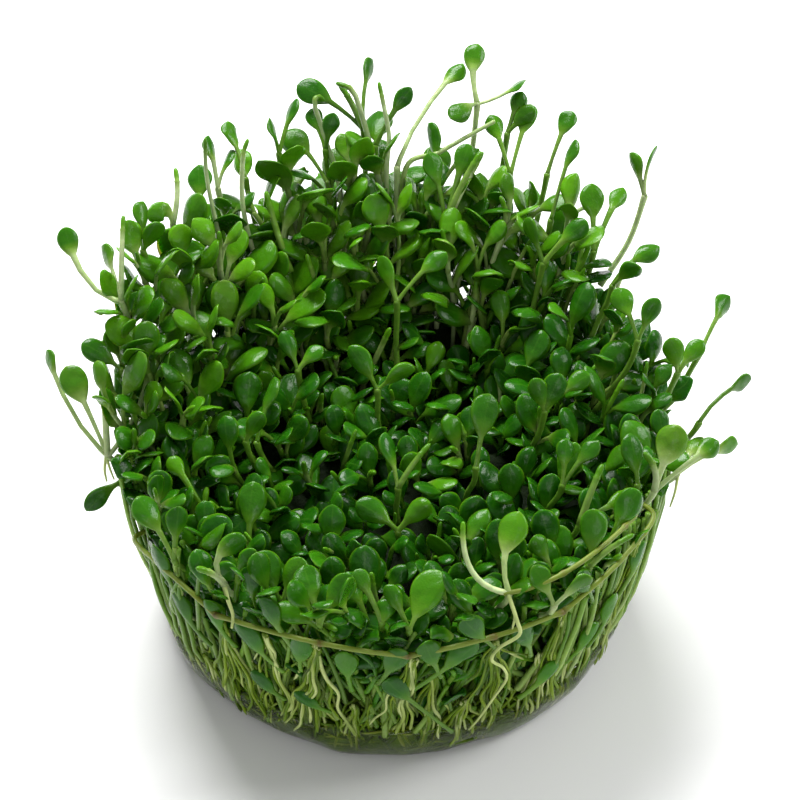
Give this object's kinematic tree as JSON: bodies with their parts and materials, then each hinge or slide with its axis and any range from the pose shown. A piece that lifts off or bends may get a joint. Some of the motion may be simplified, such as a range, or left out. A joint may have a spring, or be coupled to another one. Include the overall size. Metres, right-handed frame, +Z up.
{
  "type": "glossostigma",
  "caption": "Tissue-culture portion of glossostigma: a dense cushion of small spoon-shaped leaves over creeping stems and roots, standing on a flat slab of clear jelly.",
  "frame": {"origin": "centre of the flat underside of the jelly", "axes": "+Z up out of the leaf mass, -Y to the front that the picture shows, +X to the right as seen from the front"},
  "size_m": [0.1138, 0.1054, 0.0682],
  "materials": {
    "jelly": "clear olive growing jelly, wet and see-through",
    "root_mat": "felted roots, old stems and buried leaves",
    "leaf": "fleshy green leaf with a waxy gloss",
    "runner": "olive creeping stem, browner at its joints",
    "root": "pale cream-green root, slightly see-through"
  },
  "bodies": {
    "root": {"jelly_slab": "jelly", "leaf_canopy": "leaf", "root_mat": "root_mat", "root_tassel_front": "root", "root_tassel_front_left": "root", "root_tassel_front_middle": "root", "root_tassel_front_right": "root", "root_tassel_left": "root", "root_tassel_right": "root", "root_tassel_side": "root", "runner_front": "runner", "runner_front_left": "runner", "runner_front_middle": "runner", "runner_front_right": "runner", "runner_left": "runner", "runner_right": "runner", "shoot_back_folded": "leaf", "shoot_back_high": "leaf", "shoot_back_inner": "leaf", "shoot_back_left": "leaf", "shoot_back_long": "leaf", "shoot_back_pair": "leaf", "shoot_back_round": "leaf", "shoot_front_bow": "leaf", "shoot_front_broad": "leaf", "shoot_front_corner": "leaf", "shoot_front_left": "leaf", "shoot_front_pair": "leaf", "shoot_front_pale": "leaf", "shoot_front_right": "leaf", "shoot_left_bent": "leaf", "shoot_left_broad": "leaf", "shoot_left_cluster": "leaf", "shoot_left_folded": "leaf", "shoot_left_fork": "leaf", "shoot_left_low": "leaf", "shoot_left_pale": "leaf", "shoot_left_tall": "leaf", "shoot_middle_back": "leaf", "shoot_middle_broad": "leaf", "shoot_middle_bud": "leaf", "shoot_middle_round": "leaf", "shoot_right_back": "leaf", "shoot_right_bright": "leaf", "shoot_right_far": "leaf", "shoot_right_folded": "leaf", "shoot_right_inner": "leaf", "shoot_right_low": "leaf", "shoot_right_out": "leaf", "shoot_right_pair": "leaf", "shoot_right_round": "leaf", "shoot_right_sprout": "leaf", "shoot_right_thick": "leaf", "shoot_right_wide": "leaf"}
  },
  "joints": []
}
